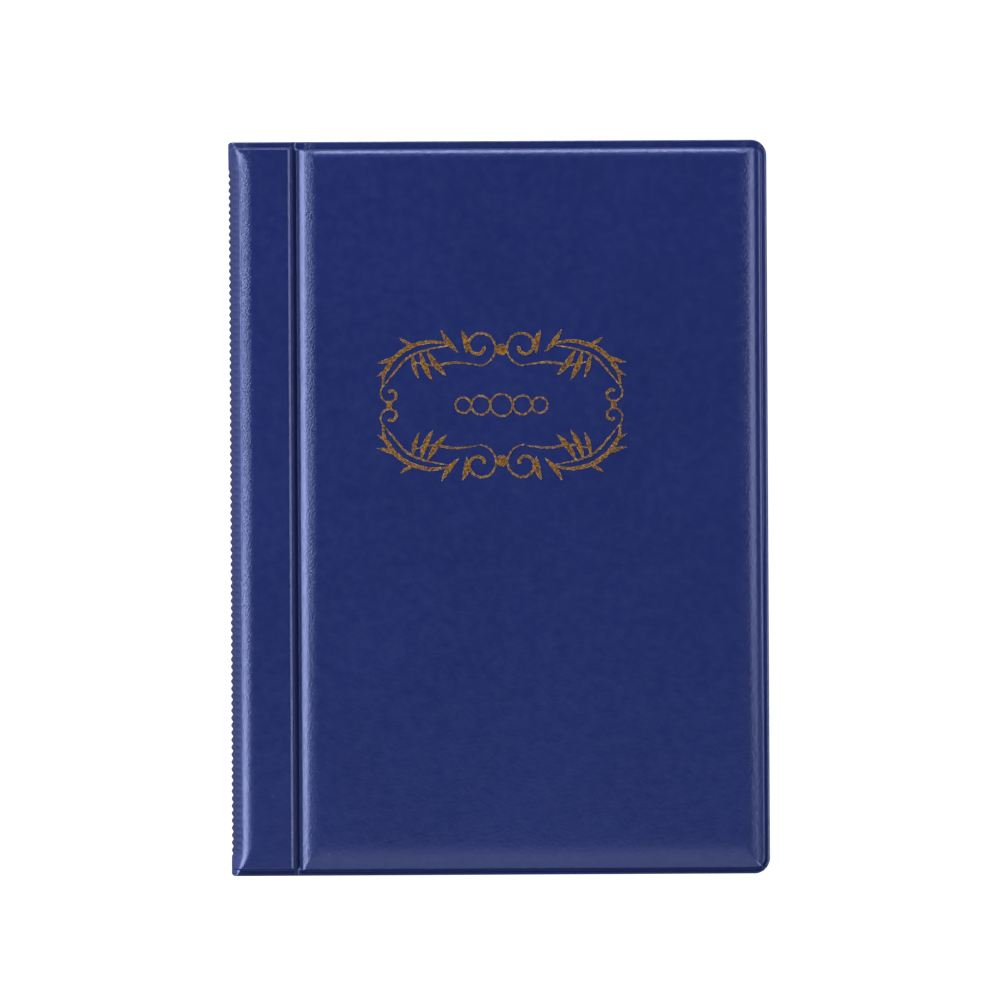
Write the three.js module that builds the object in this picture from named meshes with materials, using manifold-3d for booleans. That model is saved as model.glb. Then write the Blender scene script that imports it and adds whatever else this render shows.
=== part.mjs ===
// Coin album: padded front and back covers, a rounded spine and ten clear pocket leaves.
// It lies on its back cover. Millimetres, +Z up, spine at -X, head of the book at +Y.
import * as THREE from 'three';
import { mergeVertices } from 'three/addons/utils/BufferGeometryUtils.js';
import Module from 'manifold-3d';

const wasm = await Module();
wasm.setup();

// ---------- driving dimensions ----------
const ALBUM_WIDTH = 130;
const ALBUM_LENGTH = 177;
const ALBUM_THICKNESS = 15;
const LAYER_GAP = 0.05; // air left between layers that touch in the real album

// cover layers
const SKIN_THICKNESS = 0.5;
const PAD_THICKNESS = 0.85;
const BOARD_THICKNESS = 0.9;
const LINER_THICKNESS = 0.4;
const COVER_THICKNESS =
  SKIN_THICKNESS + PAD_THICKNESS + BOARD_THICKNESS + LINER_THICKNESS + 3 * LAYER_GAP;

// welded edge and padded rim of a cover
const FLANGE_WIDTH = 1.5;
const RIM_WIDTH = 1.5;
const RIM_HEIGHT = 1.2;
const FORE_CORNER_RADIUS = 3.8;
const FIT_GAP = 0.1; // side gap between a cover's skin and what it holds
const CORNER_TAPER = 0.4; // how much a padded corner's radius shrinks for each millimetre of inset
const RIM_TAPER = 0.6; // how much the round rim narrows for each millimetre of inset

// hinge groove, measured from the spine edge
const HINGE_FROM_SPINE = 15.9;
const HALF_GROOVE = 0.5;

// spine and the stiff strips beside it
const SPINE_BULGE = 6.3;
const STRIP_END = HINGE_FROM_SPINE - HALF_GROOVE;
const STRIP_LENGTH = 172;
const SPINE_CARD_FROM_SPINE = 2.4;
const SPINE_CARD_THICKNESS = 0.8;
const SPINE_CARD_HEIGHT = 6.4;

// leaves
const LEAF_COUNT = 10;
const LEAF_PITCH = (ALBUM_THICKNESS - 2 * COVER_THICKNESS - 2 * FIT_GAP) / LEAF_COUNT;
const LEAF_START = 17.9;
const LEAF_END = 127;
const LEAF_LENGTH = 169;
const LEAF_CORNER_RADIUS = 2;
const FILM_THICKNESS = 0.25;
const FLAP_THICKNESS = 0.15;
const MARGIN_START = 4.4;
const MARGIN_END = 14.4;

// pockets of one leaf
const POCKET_COLUMNS = 3;
const POCKET_ROWS = 4;
const HINGE_SIDE_BORDER = 3;
const FORE_EDGE_BORDER = 2;
const MOUTH_FROM_ROW_TOP = 5;
const MOUTH_HEIGHT = 1;
const MOUTH_SIDE_WELD = 2;
const FLAP_DROP = 7; // how far a flap reaches below its mouth
const FLAP_WELD = 2; // width of the line that joins a flap to the sheet

// foil ornament on the front cover
const FOIL_THICKNESS = 0.06;
const FOIL_GAP = 0.02;
const FOIL_CENTRE = { x: 0.8, y: 24.7 };

// how finely round things are cut
const CORNER_SEGMENTS = 5;
const RIM_SEGMENTS = 3;
const SPINE_SEGMENTS = 12;
const BAND_STEPS = 2;
const CURL_STEPS = 13;
const FROND_SEGMENTS = 4;

const CUT_MARGIN = 10; // how far a cutting body runs past what it cuts

const BLUE = 0x2a3560;
const LINER_BLUE = 0x2d3768;
const FOAM_GREY = 0xd5d5cf;
const BOARD_GREY = 0x9a9184;
const CLEAR_FILM = 0xdfe6ea;
const FOIL_GOLD = 0xb08a58;

const SKIN_FINISH = { color: BLUE, roughness: 0.42, metalness: 0 };
const LINER_FINISH = { color: LINER_BLUE, roughness: 0.6, metalness: 0 };
const FOAM_FINISH = { color: FOAM_GREY, roughness: 0.95, metalness: 0 };
const BOARD_FINISH = { color: BOARD_GREY, roughness: 0.9, metalness: 0 };
const FILM_FINISH = { color: CLEAR_FILM, roughness: 0.2, metalness: 0 };
const FOIL_FINISH = { color: FOIL_GOLD, roughness: 0.35, metalness: 0.8 };

/** The x of a place that is the given distance from the spine edge. */
function fromSpine(distance) {
  return distance - ALBUM_WIDTH / 2;
}

// ---------- solid operations ----------
function toSolid(geometry) {
  const bare = geometry.clone();
  bare.deleteAttribute('normal');
  bare.deleteAttribute('uv');
  const welded = mergeVertices(bare, 1e-4);
  return new wasm.Manifold(
    new wasm.Mesh({
      numProp: 3,
      vertProperties: Float32Array.from(welded.attributes.position.array),
      triVerts: Uint32Array.from(welded.index.array),
    }),
  );
}

function toGeometry(solid) {
  const { vertProperties, triVerts } = solid.getMesh();
  const geometry = new THREE.BufferGeometry();
  geometry.setAttribute('position', new THREE.Float32BufferAttribute(vertProperties, 3));
  geometry.setIndex(Array.from(triVerts));
  geometry.computeVertexNormals();
  return geometry;
}

function united(geometries) {
  return geometries.map(toSolid).reduce((whole, next) => whole.add(next));
}

function named(name, geometry, finish) {
  const mesh = new THREE.Mesh(geometry, new THREE.MeshStandardMaterial(finish));
  mesh.name = name;
  return mesh;
}

// ---------- basic shapes ----------
/** A box given by its lowest and highest corner. */
function boxBetween(low, high) {
  const size = high.map((value, axis) => value - low[axis]);
  const box = new THREE.BoxGeometry(...size);
  return box.translate(...low.map((value, axis) => value + size[axis] / 2));
}

/** An upright outline with square corners at the hinge side and round ones at the fore edge. */
function pageOutline(xLow, xHigh, halfLength, cornerRadius) {
  const outline = new THREE.Shape();
  outline.moveTo(xLow, -halfLength);
  outline.lineTo(xHigh - cornerRadius, -halfLength);
  outline.absarc(xHigh - cornerRadius, cornerRadius - halfLength, cornerRadius, -Math.PI / 2, 0, false);
  outline.lineTo(xHigh, halfLength - cornerRadius);
  outline.absarc(xHigh - cornerRadius, halfLength - cornerRadius, cornerRadius, 0, Math.PI / 2, false);
  outline.lineTo(xLow, halfLength);
  outline.closePath();
  return outline;
}

/** A flat sheet with the given outline, its lower face at the given height. */
function sheet(outline, thickness, lowerFace) {
  const geometry = new THREE.ExtrudeGeometry(outline, {
    depth: thickness,
    bevelEnabled: false,
    curveSegments: CORNER_SEGMENTS,
  });
  return geometry.translate(0, 0, lowerFace);
}

// ---------- covers ----------
// A cover is built with its inner face at z = 0 and its outer face up.
/** The padded block of a cover, shrunk on every side but the lower one, with a round upper rim. */
function padBlock(inset, top, bottom) {
  const xLow = fromSpine(HINGE_FROM_SPINE + HALF_GROOVE) + inset;
  const xHigh = ALBUM_WIDTH / 2 - FLANGE_WIDTH - inset;
  const halfLength = ALBUM_LENGTH / 2 - FLANGE_WIDTH - inset;
  const cornerRadius = FORE_CORNER_RADIUS - FLANGE_WIDTH - inset * CORNER_TAPER;
  const rimWidth = RIM_WIDTH - inset * RIM_TAPER;
  const rounded = new THREE.ExtrudeGeometry(pageOutline(xLow, xHigh, halfLength, cornerRadius), {
    depth: COVER_THICKNESS,
    bevelThickness: RIM_HEIGHT,
    bevelSize: rimWidth,
    bevelOffset: -rimWidth,
    bevelSegments: RIM_SEGMENTS,
    curveSegments: CORNER_SEGMENTS,
  });
  rounded.translate(0, 0, top - COVER_THICKNESS - RIM_HEIGHT);
  const below = boxBetween(
    [xLow - CUT_MARGIN, -halfLength - CUT_MARGIN, -2 * COVER_THICKNESS],
    [xHigh + CUT_MARGIN, halfLength + CUT_MARGIN, bottom],
  );
  return toSolid(rounded).subtract(toSolid(below));
}

function coverOutline() {
  const hingeSide = fromSpine(HINGE_FROM_SPINE + HALF_GROOVE);
  return pageOutline(hingeSide, ALBUM_WIDTH / 2, ALBUM_LENGTH / 2, FORE_CORNER_RADIUS);
}

function coverLiner() {
  return sheet(coverOutline(), LINER_THICKNESS, 0);
}

/** A shallow upside-down tray with a flat flange, which closes over the board and the pad. */
function coverSkin() {
  const rimFoot = LINER_THICKNESS + LAYER_GAP;
  const flange = toSolid(sheet(coverOutline(), SKIN_THICKNESS, rimFoot));
  const hollow = padBlock(SKIN_THICKNESS, COVER_THICKNESS - SKIN_THICKNESS, -COVER_THICKNESS);
  return toGeometry(flange.add(padBlock(0, COVER_THICKNESS, rimFoot)).subtract(hollow));
}

function coverBoard() {
  const inset = SKIN_THICKNESS + FIT_GAP;
  const outline = pageOutline(
    fromSpine(HINGE_FROM_SPINE + HALF_GROOVE) + inset,
    ALBUM_WIDTH / 2 - FLANGE_WIDTH - inset,
    ALBUM_LENGTH / 2 - FLANGE_WIDTH - inset,
    FORE_CORNER_RADIUS - FLANGE_WIDTH,
  );
  return sheet(outline, BOARD_THICKNESS, LINER_THICKNESS + LAYER_GAP);
}

function coverPad() {
  const top = COVER_THICKNESS - SKIN_THICKNESS - LAYER_GAP;
  return toGeometry(padBlock(SKIN_THICKNESS + FIT_GAP, top, top - PAD_THICKNESS));
}

function cover(side) {
  const group = new THREE.Group();
  group.add(
    named(`${side}_cover_skin`, coverSkin(), SKIN_FINISH),
    named(`${side}_cover_foam_pad`, coverPad(), FOAM_FINISH),
    named(`${side}_cover_board`, coverBoard(), BOARD_FINISH),
    named(`${side}_cover_liner`, coverLiner(), LINER_FINISH),
  );
  return group;
}

// ---------- spine and strips ----------
/** A length of the spine's D-shaped section, centred on z = 0 and running along Y. */
function spineLength(halfHeight, inset, xEnd, length) {
  const section = new THREE.Shape();
  const bulgeCentre = fromSpine(SPINE_BULGE);
  section.moveTo(xEnd, -halfHeight);
  section.lineTo(xEnd, halfHeight);
  section.lineTo(bulgeCentre, halfHeight);
  section.absellipse(bulgeCentre, 0, SPINE_BULGE - inset, halfHeight, Math.PI / 2, 1.5 * Math.PI, false);
  section.closePath();
  const geometry = new THREE.ExtrudeGeometry(section, {
    depth: length,
    bevelEnabled: false,
    curveSegments: SPINE_SEGMENTS,
  });
  return toSolid(geometry.rotateX(Math.PI / 2).translate(0, length / 2, 0));
}

/** The wrap-around skin: full height along the strips, pinched to the flange level at both ends. */
function spineSkin() {
  const full = ALBUM_THICKNESS / 2;
  const pinched = full - COVER_THICKNESS + LINER_THICKNESS + LAYER_GAP + SKIN_THICKNESS;
  const bodyLength = ALBUM_LENGTH - 2 * FLANGE_WIDTH;
  const xEnd = fromSpine(STRIP_END);
  const outside = spineLength(full, 0, xEnd, bodyLength).add(
    spineLength(pinched, 0, xEnd, ALBUM_LENGTH),
  );
  const hollow = spineLength(
    full - SKIN_THICKNESS,
    SKIN_THICKNESS,
    xEnd - SKIN_THICKNESS,
    bodyLength - 2 * SKIN_THICKNESS,
  );
  const leafSpace = spineLength(
    pinched - SKIN_THICKNESS,
    SKIN_THICKNESS,
    xEnd + CUT_MARGIN,
    ALBUM_LENGTH + CUT_MARGIN,
  );
  return toGeometry(outside.subtract(hollow.add(leafSpace)));
}

function stripBoard() {
  const inner = LINER_THICKNESS + 2 * LAYER_GAP;
  const outer = COVER_THICKNESS - SKIN_THICKNESS - LAYER_GAP;
  const hingeEnd = fromSpine(STRIP_END) - SKIN_THICKNESS - FIT_GAP;
  return boxBetween(
    [fromSpine(SPINE_BULGE), -STRIP_LENGTH / 2, inner],
    [hingeEnd, STRIP_LENGTH / 2, outer],
  );
}

function stripLiner() {
  return boxBetween(
    [fromSpine(SPINE_BULGE), -ALBUM_LENGTH / 2 + FIT_GAP, 0],
    [fromSpine(STRIP_END), ALBUM_LENGTH / 2 - FIT_GAP, LINER_THICKNESS],
  );
}

function strip(side) {
  const group = new THREE.Group();
  group.add(
    named(`${side}_strip_board`, stripBoard(), BOARD_FINISH),
    named(`${side}_strip_liner`, stripLiner(), LINER_FINISH),
  );
  return group;
}

function spineCard() {
  const near = fromSpine(SPINE_CARD_FROM_SPINE);
  return boxBetween(
    [near, -STRIP_LENGTH / 2, -SPINE_CARD_HEIGHT / 2],
    [near + SPINE_CARD_THICKNESS, STRIP_LENGTH / 2, SPINE_CARD_HEIGHT / 2],
  );
}

// ---------- leaves ----------
function leafOutline() {
  return pageOutline(fromSpine(LEAF_START), fromSpine(LEAF_END), LEAF_LENGTH / 2, LEAF_CORNER_RADIUS);
}

/** Cutting bars for the pocket mouths of one row. */
function mouthBars(row) {
  const first = fromSpine(LEAF_START) + HINGE_SIDE_BORDER;
  const columnWidth = (fromSpine(LEAF_END) - FORE_EDGE_BORDER - first) / POCKET_COLUMNS;
  const top = mouthHeightOf(row);
  const bars = [];
  for (let column = 0; column < POCKET_COLUMNS; column += 1) {
    const left = first + column * columnWidth;
    bars.push(
      boxBetween(
        [left + MOUTH_SIDE_WELD, top - MOUTH_HEIGHT, -FILM_THICKNESS],
        [left + columnWidth - MOUTH_SIDE_WELD, top, 2 * FILM_THICKNESS],
      ),
    );
  }
  return bars;
}

function mouthHeightOf(row) {
  return LEAF_LENGTH / 2 - MOUTH_FROM_ROW_TOP - (row * LEAF_LENGTH) / POCKET_ROWS;
}

/** A flap hangs over its row of mouths and is joined to the sheet along its upper edge. */
function flapOf(row) {
  const left = fromSpine(LEAF_START) + HINGE_SIDE_BORDER;
  const right = fromSpine(LEAF_END) - FORE_EDGE_BORDER;
  const mouth = mouthHeightOf(row);
  const flapFoot = FILM_THICKNESS + LAYER_GAP;
  const flap = boxBetween(
    [left, mouth - FLAP_DROP, flapFoot],
    [right, mouth + FLAP_WELD, flapFoot + FLAP_THICKNESS],
  );
  const weld = boxBetween(
    [left, mouth + MOUTH_HEIGHT, FILM_THICKNESS / 2],
    [right, mouth + FLAP_WELD, flapFoot + FLAP_THICKNESS / 2],
  );
  return united([flap, weld]);
}

function pocketSheet() {
  let solid = toSolid(sheet(leafOutline(), FILM_THICKNESS, 0));
  for (let row = 0; row < POCKET_ROWS; row += 1) {
    solid = solid.subtract(united(mouthBars(row))).add(flapOf(row));
  }
  return toGeometry(solid);
}

function leaf(label) {
  const group = new THREE.Group();
  const front = named(`${label}_pocket_sheet`, pocketSheet(), FILM_FINISH);
  front.position.z = FILM_THICKNESS + LAYER_GAP;
  group.add(named(`${label}_back_sheet`, sheet(leafOutline(), FILM_THICKNESS, 0), FILM_FINISH), front);
  return group;
}

/** The part of a leaf that is held in the binding, with the spacer that is welded to it. */
function bindingMargin() {
  return boxBetween(
    [fromSpine(MARGIN_START), -LEAF_LENGTH / 2, 0],
    [fromSpine(MARGIN_END), LEAF_LENGTH / 2, LEAF_PITCH - LAYER_GAP],
  );
}

// ---------- foil ornament ----------
// A line is a list of points with the half width of the foil at each.
function vector([x, y]) {
  return new THREE.Vector2(x, y);
}

/** A smooth line through a few places, thickest in its middle. */
function band(places, halfWidth) {
  const endShare = 0.35; // width of the ends, as a share of the middle's
  const curve = new THREE.SplineCurve(places.map(vector));
  const steps = BAND_STEPS * (places.length - 1);
  return Array.from({ length: steps + 1 }, (unused, step) => ({
    at: curve.getPoint(step / steps),
    half: halfWidth * (endShare + (1 - endShare) * Math.sin((Math.PI * step) / steps)),
  }));
}

/** A line that winds inwards around a centre and thickens as it goes. */
function curl(centre, radius, startAngle, turn, halfWidth) {
  const innerShare = 0.22; // reach at the inner end, as a share of the outer one's
  const outerWidth = 0.55;
  const innerWidth = 1.3;
  return Array.from({ length: CURL_STEPS + 1 }, (unused, step) => {
    const along = step / CURL_STEPS;
    const reach = radius * (1 - (1 - innerShare) * along);
    const angle = startAngle + turn * along;
    const at = vector([centre[0] + reach * Math.cos(angle), centre[1] + reach * Math.sin(angle)]);
    return { at, half: halfWidth * (outerWidth + (innerWidth - outerWidth) * along) };
  });
}

/** The outline of a line of varying width. */
function ribbon(line) {
  const left = [];
  const right = [];
  line.forEach(({ at, half }, index) => {
    const before = line[Math.max(index - 1, 0)].at;
    const after = line[Math.min(index + 1, line.length - 1)].at;
    const side = after.clone().sub(before).normalize().multiplyScalar(half);
    left.push(new THREE.Vector2(at.x - side.y, at.y + side.x));
    right.unshift(new THREE.Vector2(at.x + side.y, at.y - side.x));
  });
  return new THREE.Shape([...left, ...right]);
}

/** A pointed leaf from its foot to its tip, swollen to one side. */
function frond([footX, footY], [tipX, tipY], swell) {
  const fullSide = 2; // how far each side's control point lies from the middle, in swells
  const flatSide = 0.4;
  const middleX = (footX + tipX) / 2;
  const middleY = (footY + tipY) / 2;
  const acrossX = (tipY - footY) * swell;
  const acrossY = (footX - tipX) * swell;
  const outline = new THREE.Shape();
  outline.moveTo(footX, footY);
  outline.quadraticCurveTo(middleX + acrossX * fullSide, middleY + acrossY * fullSide, tipX, tipY);
  outline.quadraticCurveTo(middleX - acrossX * flatSide, middleY - acrossY * flatSide, footX, footY);
  return outline;
}

function bead(centre, radius) {
  const outline = new THREE.Shape();
  outline.absarc(...centre, radius, 0, 2 * Math.PI, false);
  return outline;
}

/** The upper right quarter of the frame, in millimetres from the ornament's centre. */
function foilQuarter() {
  return [
    ribbon(band([[21.5, 10.6], [16.5, 9.6], [11, 10.3], [4.9, 9.55]], 0.3)),
    ribbon(curl([5.3, 14.1], 4.6, -Math.PI / 2, -2.5 * Math.PI, 0.36)),
    ribbon(band([[12, 14.6], [17.6, 15.3], [23.6, 13.2], [27.8, 8.6], [28.6, 4.2]], 0.55)),
    ribbon(band([[12, 14.5], [18.2, 13.3], [22.6, 11.4], [25.9, 7.8], [28.6, 4.4]], 0.3)),
    ribbon(curl([26.7, 2.7], 2.6, Math.PI / 4, -2 * Math.PI, 0.34)),
    frond([18, 13.6], [13, 6.9], -0.14),
    frond([19.6, 13.4], [16.4, 5.8], -0.14),
    frond([21.4, 12.6], [19.8, 6.4], -0.14),
    frond([10.2, 12.6], [14.6, 18.4], 0.14),
    frond([8.4, 12.2], [9.6, 18.2], -0.2),
    frond([24.6, 12.2], [30.2, 10.2], 0.14),
    frond([26.2, 10], [30.2, 6.9], 0.14),
    frond([20.8, 14.4], [24.6, 16.4], 0.16),
    bead([0, 13.4], 1.4),
    bead([27, 0], 0.75),
  ];
}

/** Mirrors a solid in x, in y or in both, keeping its faces outward. */
function mirroredCopies(solid) {
  return [
    solid,
    solid.mirror([1, 0, 0]),
    solid.mirror([0, 1, 0]),
    solid.mirror([1, 0, 0]).mirror([0, 1, 0]),
  ];
}

function foilSheet(outline) {
  return new THREE.ExtrudeGeometry(outline, {
    depth: FOIL_THICKNESS,
    bevelEnabled: false,
    curveSegments: FROND_SEGMENTS,
  });
}

/** The beads on the centre lines join the four quarters into one piece of foil. */
function foilFrame() {
  const quarter = united(foilQuarter().map(foilSheet));
  return toGeometry(mirroredCopies(quarter).reduce((whole, next) => whole.add(next)));
}

/** A chain of overlapping rings, the plain motif inside the frame. */
function foilRings() {
  const ringWidth = 0.5;
  const radii = [2.1, 2.5, 2.9, 2.5, 2.1];
  const overlap = 0.4;
  let along = 0;
  const rings = radii.map((radius, index) => {
    along += index ? radii[index - 1] + radius - overlap : 0;
    const ring = new THREE.Shape();
    ring.absarc(along, 0, radius, 0, 2 * Math.PI, false);
    const hole = new THREE.Path();
    hole.absarc(along, 0, radius - ringWidth, 0, 2 * Math.PI, true);
    ring.holes.push(hole);
    return foilSheet(ring);
  });
  return toGeometry(united(rings)).translate(-along / 2, 0, 0);
}

function foilOrnament() {
  const group = new THREE.Group();
  group.add(
    named('front_cover_foil_frame', foilFrame(), FOIL_FINISH),
    named('front_cover_foil_rings', foilRings(), FOIL_FINISH),
  );
  group.position.set(FOIL_CENTRE.x, FOIL_CENTRE.y, COVER_THICKNESS + FOIL_GAP);
  return group;
}

// ---------- the album ----------
/** Puts a group that was built face up against the front or the back of the album. */
function placed(group, side) {
  const facesUp = side === 'front';
  group.position.z = facesUp ? ALBUM_THICKNESS - COVER_THICKNESS : COVER_THICKNESS;
  group.rotation.x = facesUp ? 0 : Math.PI;
  return group;
}

function album() {
  const group = new THREE.Group();
  for (const side of ['front', 'back']) {
    const panel = cover(side);
    if (side === 'front') {
      panel.add(foilOrnament());
    }
    group.add(placed(panel, side), placed(strip(side), side));
  }

  const middle = new THREE.Group();
  middle.position.z = ALBUM_THICKNESS / 2;
  middle.add(
    named('spine_skin', spineSkin(), SKIN_FINISH),
    named('spine_card', spineCard(), BOARD_FINISH),
  );
  group.add(middle);

  for (let number = 1; number <= LEAF_COUNT; number += 1) {
    const label = `leaf_${String(number).padStart(2, '0')}`;
    const level = COVER_THICKNESS + FIT_GAP + (number - 1) * LEAF_PITCH;
    const page = leaf(label);
    const margin = named(`${label}_binding_margin`, bindingMargin(), FILM_FINISH);
    page.position.z = level + LAYER_GAP;
    margin.position.z = level + LAYER_GAP / 2;
    group.add(page, margin);
  }
  return group;
}

export default album();
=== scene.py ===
"""Coin album: padded blue covers, a knurled spine, ten clear pocket leaves and a gold foil ornament."""
import math

import bmesh
import bpy
import numpy as np
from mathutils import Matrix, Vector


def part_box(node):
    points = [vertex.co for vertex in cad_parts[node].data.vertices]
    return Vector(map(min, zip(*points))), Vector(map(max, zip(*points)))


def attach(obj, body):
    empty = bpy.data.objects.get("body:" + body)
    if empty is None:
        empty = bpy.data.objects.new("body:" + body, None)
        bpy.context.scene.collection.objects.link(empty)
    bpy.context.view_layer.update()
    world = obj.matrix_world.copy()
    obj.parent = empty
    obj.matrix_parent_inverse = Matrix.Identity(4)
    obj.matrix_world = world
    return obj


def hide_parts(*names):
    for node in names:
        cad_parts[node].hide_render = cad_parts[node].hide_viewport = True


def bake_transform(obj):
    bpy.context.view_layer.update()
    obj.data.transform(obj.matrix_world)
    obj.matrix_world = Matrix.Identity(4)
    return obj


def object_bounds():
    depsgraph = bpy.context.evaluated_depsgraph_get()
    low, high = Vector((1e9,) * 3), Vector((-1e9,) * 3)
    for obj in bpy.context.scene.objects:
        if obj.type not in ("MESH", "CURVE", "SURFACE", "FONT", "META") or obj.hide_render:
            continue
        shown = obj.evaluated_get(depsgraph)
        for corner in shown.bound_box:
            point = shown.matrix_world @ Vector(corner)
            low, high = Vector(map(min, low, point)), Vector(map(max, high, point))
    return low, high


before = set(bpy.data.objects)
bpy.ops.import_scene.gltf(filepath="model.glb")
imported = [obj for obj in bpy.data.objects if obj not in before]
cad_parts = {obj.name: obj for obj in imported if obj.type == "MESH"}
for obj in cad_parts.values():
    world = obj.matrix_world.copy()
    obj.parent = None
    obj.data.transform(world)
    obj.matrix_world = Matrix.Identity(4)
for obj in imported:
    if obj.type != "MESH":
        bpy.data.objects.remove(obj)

cad_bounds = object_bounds()

# ---------- driving dimensions, in millimetres ----------
MM = 0.001

FORE_CORNER_RADIUS = 3.8
SPINE_CORNER_RADIUS = 0.7
SKIN_THICKNESS = 0.5
BOARD_TOP = 1.38  # height above a cover's inner face that the skin stays over
FLANGE_FOOT = 0.45  # underside of the welded edge
FLANGE_END = 1.65
STRIP_BOARD_TOP = 2.28
PANEL_CROWN = 0.25

# The padded edges: (distance from the edge, height over the cover's inner face)
HINGE_PROFILE = (
    (0, 0.95), (0.15, 1.12), (0.45, 1.15), (0.8, 1.08), (1.15, 0.95), (1.3, 1.1), (1.45, 1.22), (1.6, 1.32),
    (1.8, 1.41), (2, 1.46), (2.2, 1.5), (2.4, 1.56), (2.6, 1.65), (2.9, 1.8), (3.2, 1.95), (3.5, 2.09),
    (3.8, 2.21), (4.1, 2.31), (4.5, 2.42), (5, 2.53), (5.6, 2.63), (6.4, 2.72), (7.5, 2.78), (9, 2.8),
)
FORE_PROFILE = (
    (0, 0.72), (0.15, 0.86), (0.35, 1.0), (0.6, 1.1), (0.85, 1.09), (1.15, 0.95), (1.4, 1.1), (1.6, 1.33),
    (1.8, 1.48), (2, 1.59), (2.2, 1.63), (2.5, 1.66), (2.8, 1.71), (3.1, 1.8), (3.4, 1.94), (3.7, 2.09),
    (4, 2.23), (4.4, 2.38), (4.9, 2.52), (5.5, 2.63), (6.3, 2.72), (7.3, 2.775), (8.5, 2.8),
)
FORE_FOOT_PROFILE = (
    (0, 0.78), (0.15, 0.92), (0.35, 1.04), (0.6, 1.12), (0.85, 1.09), (1.15, 0.95), (1.28, 1.25),
    (1.4, 1.45), (1.46, 1.5), (1.52, 1.53), (1.9, 1.64), (2.4, 1.79), (2.9, 1.96), (3.4, 2.15), (3.9, 2.32),
    (4.5, 2.49), (5.3, 2.64), (6.3, 2.74), (8, 2.79), (10, 2.8),
)
HEAD_PROFILE = (
    (0, 0.95), (0.15, 1.12), (0.6, 1.14), (1.6, 1.07), (1.85, 1.1), (1.95, 1.4), (2.08, 1.8), (2.2, 2),
    (2.45, 2.18), (2.75, 2.37), (3.15, 2.54), (3.7, 2.68), (4.6, 2.78), (6, 2.8),
)
FOOT_PROFILE = (
    (0, 0.95), (0.15, 1.12), (0.6, 1.14), (1.05, 1.0), (1.2, 1.3), (1.35, 1.6), (1.5, 1.77), (1.8, 1.89),
    (2.4, 2.04), (3, 2.18), (4, 2.38), (5.2, 2.56), (6.6, 2.69), (8.5, 2.77), (11, 2.8),
)
STRIP_END_PROFILE = (
    (0, 0.95), (0.15, 1.12), (0.6, 1.14), (1.3, 1.06), (1.5, 1.12), (1.62, 1.6), (1.76, 2.3), (1.88, 2.68),
    (2, 2.77), (2.3, 2.8), (4, 2.8),
)
HINGE_SIDE_INSET = 1.45  # the inset that the hinge side of a cover starts at
BOARD_CLIMB = 0.35  # length over which the skin climbs from the weld onto the board
BOARD_FROM = 2.0  # inset from which the skin lies over board and foam
UNEVENNESS = ((0.020, 24, 3), (0.007, 7, 5))  # height, wave length and seed of the panel's faint waves
# Wrinkled bands: where they start, are full, are full up to and end, from the edge of a cover or the spine
HINGE_CREASE_BAND = (1.6, 2.9, 3.5, 6.2)
FORE_CREASE_BAND = (3.6, 4.9, 5.6, 9.0)
SPINE_CREASE_BAND = (3.0, 4.1, 4.6, 7.0)
FORE_CREASE = 0.7  # strength of the wrinkles by the fore edge against those by the hinge
MITRE = 0.12  # how softly the profiles meet at a cover's corners
LINER_WELD_DEPTH = 0.14
LINER_WELD_HALF_WIDTH = 0.28
COVER_LINER_WELD = 1.15  # distance of the liner's weld from its edge
STRIP_LINER_WELD = 1.05
SHEET_RIM = 0.07  # how much a sheet is thinned on each face at its cut edge
SHEET_RIM_WIDTH = 0.16

# The strip beside the hinge: height at each distance from its hinge end
STRIP_PROFILE = (
    (0, 1.2), (0.05, 1.7), (0.12, 2.1), (0.25, 2.36), (0.4, 2.47), (0.55, 2.57), (0.7, 2.67), (0.9, 2.76),
    (1.2, 2.8), (2, 2.8),
)

SPINE_BULGE = 6.3
SPINE_FULLNESS = 0.32  # how far the vinyl stands out round the middle of the spine
SPINE_END_BULGE = 1.0
SPINE_TAPER = 8.0  # length over which the spine's rounding grows from its ends
KNURL_PITCH = 1.78
KNURL_DEPTH = 0.44
KNURL_SHARPNESS = 1.5  # above 1 the grooves are narrower than the ribs between them
KNURL_CURVE = 0.02  # how fast the grooves part from each other on the spine's shoulders
KNURL_ROWS = 5  # mesh rows in one pitch
SPINE_ARC_ROWS = 16  # mesh rows from the front of the spine to its middle
KNURL_BACKING = 0.35  # extra thickness behind the knurled band
KNURL_WIDTH = 2.4  # how far the knurled band reaches onto the front, from the spine edge
KNURL_EDGE = (-0.9, 0.3)  # where the grooves start to fade and end, from that width
KNURL_HEAD_START = 6.5
KNURL_FOOT_START = 4.5
KNURL_FADE = 1.6

GROOVE_HALF_WIDTH = 0.72
GROOVE_TOP = 0.9
GROOVE_FOOT = 0.04
GROOVE_RISE = 0.28  # how much higher the groove's film is at its sides than in its middle

LEAF_COUNT = 10
FILM = 0.2
FLAP_FILM = 0.14
LEAF_CORNER_RADIUS = 2.0
POCKET_COLUMNS = 3
POCKET_ROWS = 4
HINGE_SIDE_BORDER = 3.0
FORE_EDGE_BORDER = 2.0
MOUTH_FROM_ROW_TOP = 5.0
MOUTH_HEIGHT = 1.0
MOUTH_SIDE_WELD = 2.0
FLAP_DROP = 7.0
FLAP_WELD = 2.0
POCKET_SWELL = 0.12
WELD_HALF_WIDTH = 0.7
ROW_WELD = (0.5, 1.2, 1.9)  # start, middle and end of the weld at a row's foot
LEAF_STEP = 2.6  # spacing of a leaf's mesh lines
LEAF_LEAST_STEP = 0.14
WELD_SINK = 0.03  # how far the film sinks along a weld
FLEX_FILM = 0.05
FLEX_LAP = 0.6  # how far a flex strip reaches onto the margin and the leaf

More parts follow.
